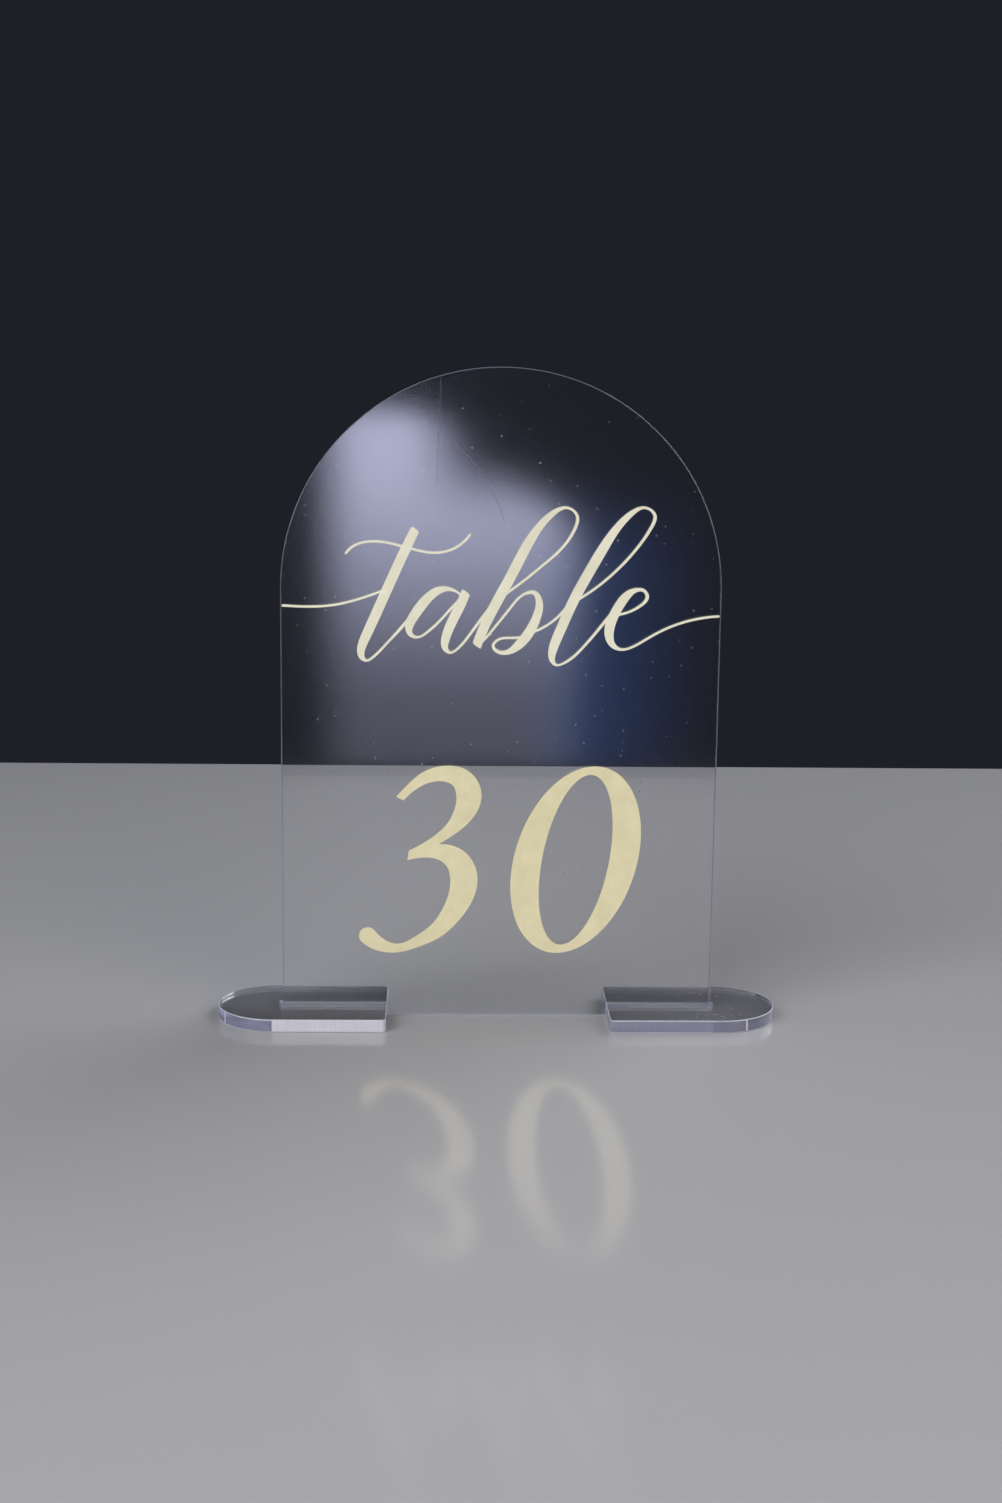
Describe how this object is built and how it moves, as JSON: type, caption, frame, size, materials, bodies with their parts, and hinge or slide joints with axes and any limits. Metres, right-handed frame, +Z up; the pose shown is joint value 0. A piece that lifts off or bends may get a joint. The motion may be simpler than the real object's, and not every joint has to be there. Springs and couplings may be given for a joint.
{
  "type": "table number holder",
  "caption": "Clear acrylic table sign with an arched top and a printed number, standing upright in slotted round-ended feet that slide off its bottom corners.",
  "frame": {"origin": "on the table, under the middle of the panel", "axes": "+X to the reader's right along the panel, +Y away from the reader, +Z up"},
  "size_m": [0.1322, 0.028, 0.1524],
  "materials": {
    "clear_panel": "gloss",
    "clear_foot": "gloss",
    "cream_ink": "satin"
  },
  "bodies": {
    "panel": {"arch_panel": "clear_panel", "printed_word": "cream_ink", "printed_digit_three": "cream_ink", "printed_digit_zero": "cream_ink"},
    "left_foot": {"left_foot": "clear_foot"},
    "right_foot": {"right_foot": "clear_foot"}
  },
  "joints": [
    {"name": "left_foot_slide", "type": "slide", "parent": "panel", "child": "left_foot", "axis": [-1, 0, 0], "range_m": [-0.0006, 0.03]},
    {"name": "right_foot_slide", "type": "slide", "parent": "panel", "child": "right_foot", "axis": [1, 0, 0], "range_m": [-0.0006, 0.03]}
  ]
}
